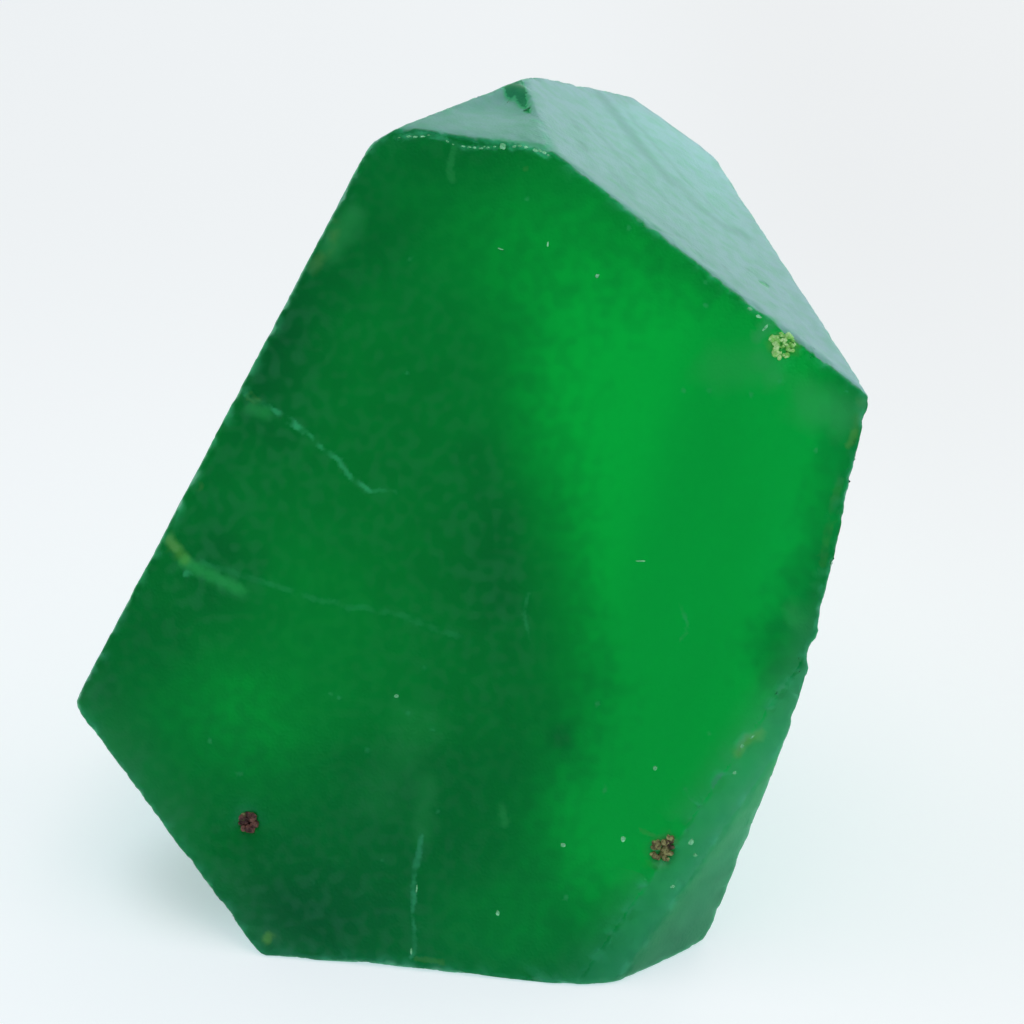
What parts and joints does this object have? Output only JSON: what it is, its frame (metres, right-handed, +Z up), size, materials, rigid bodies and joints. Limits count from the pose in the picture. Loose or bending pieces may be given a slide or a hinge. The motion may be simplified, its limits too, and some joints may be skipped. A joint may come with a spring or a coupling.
{
  "type": "raw emerald crystal",
  "caption": "Raw green emerald crystal, a stubby worn piece with flat faces, chipped edges and small pits, resting on its broken flat base.",
  "frame": {"origin": "centre of the bounding box at the flat base that the crystal rests on", "axes": "+Z up, the broad front face looks toward -Y, +X to the right of someone facing it"},
  "size_m": [0.0388, 0.0346, 0.0388],
  "materials": {
    "emerald": "satin, frosted natural faces, deep green and translucent"
  },
  "bodies": {
    "root": {"emerald_crystal": "emerald"}
  },
  "joints": []
}
